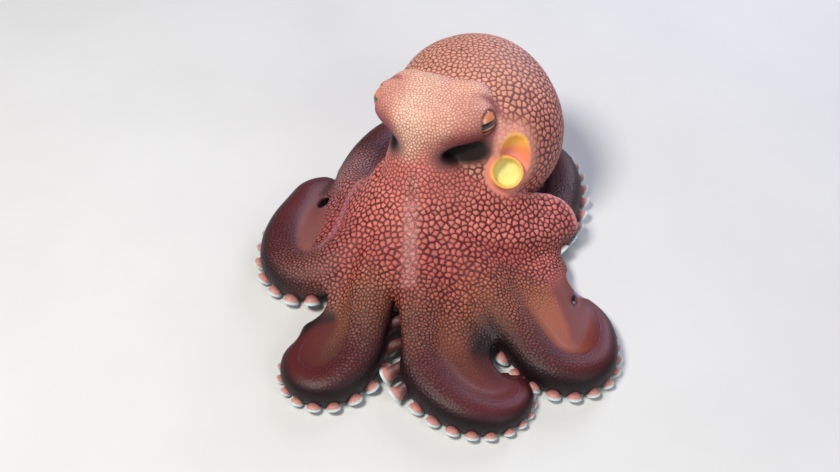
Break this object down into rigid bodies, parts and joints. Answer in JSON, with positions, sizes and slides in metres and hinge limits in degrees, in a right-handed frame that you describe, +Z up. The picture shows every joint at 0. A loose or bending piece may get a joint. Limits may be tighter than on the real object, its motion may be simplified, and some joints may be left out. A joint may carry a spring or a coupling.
{
  "type": "octopus",
  "caption": "Octopus sitting on the floor with its arms curled round it, web spread between them, head raised in front of a round mantle.",
  "frame": {"origin": "on the floor, under the middle of the bounding box", "axes": "+Z up, the head and front web face -Y, the mantle lies towards +Y, +X is the animal's own left"},
  "size_m": [0.1236, 0.1364, 0.0543],
  "materials": {
    "head_skin": "satin, moist",
    "mantle_skin": "satin, moist, netted",
    "web_skin": "satin, moist, netted",
    "arm_skin": "satin, moist",
    "funnel_skin": "satin, moist",
    "eye": "wet gloss"
  },
  "bodies": {
    "root": {"head": "head_skin", "eye_right": "eye", "eye_left": "eye", "funnel": "funnel_skin", "mantle": "mantle_skin", "crown": "web_skin", "arm_r1_base": "arm_skin", "arm_r1_bend": "arm_skin", "arm_r1_curl": "arm_skin", "arm_r1_tip": "arm_skin", "arm_l1_base": "arm_skin", "arm_l1_bend": "arm_skin", "arm_l1_curl": "arm_skin", "arm_l1_tip": "arm_skin", "arm_l2_base": "arm_skin", "arm_l2_bend": "arm_skin", "arm_l2_curl": "arm_skin", "arm_l2_tip": "arm_skin", "arm_l3_base": "arm_skin", "arm_l3_bend": "arm_skin", "arm_l3_curl": "arm_skin", "arm_l3_tip": "arm_skin", "arm_l4_base": "arm_skin", "arm_l4_bend": "arm_skin", "arm_l4_tip": "arm_skin", "arm_r2_base": "arm_skin", "arm_r2_bend": "arm_skin", "arm_r2_curl": "arm_skin", "arm_r2_tip": "arm_skin", "arm_r3_base": "arm_skin", "arm_r3_bend": "arm_skin", "arm_r3_tip": "arm_skin", "arm_r4_base": "arm_skin", "arm_r4_bend": "arm_skin", "arm_r4_tip": "arm_skin", "web_front": "web_skin", "web_l1_l2": "web_skin", "web_l2_l3": "web_skin", "web_l3_l4": "web_skin", "web_back": "web_skin", "web_r3_r4": "web_skin", "web_r2_r3": "web_skin", "web_r1_r2": "web_skin"}
  },
  "joints": []
}
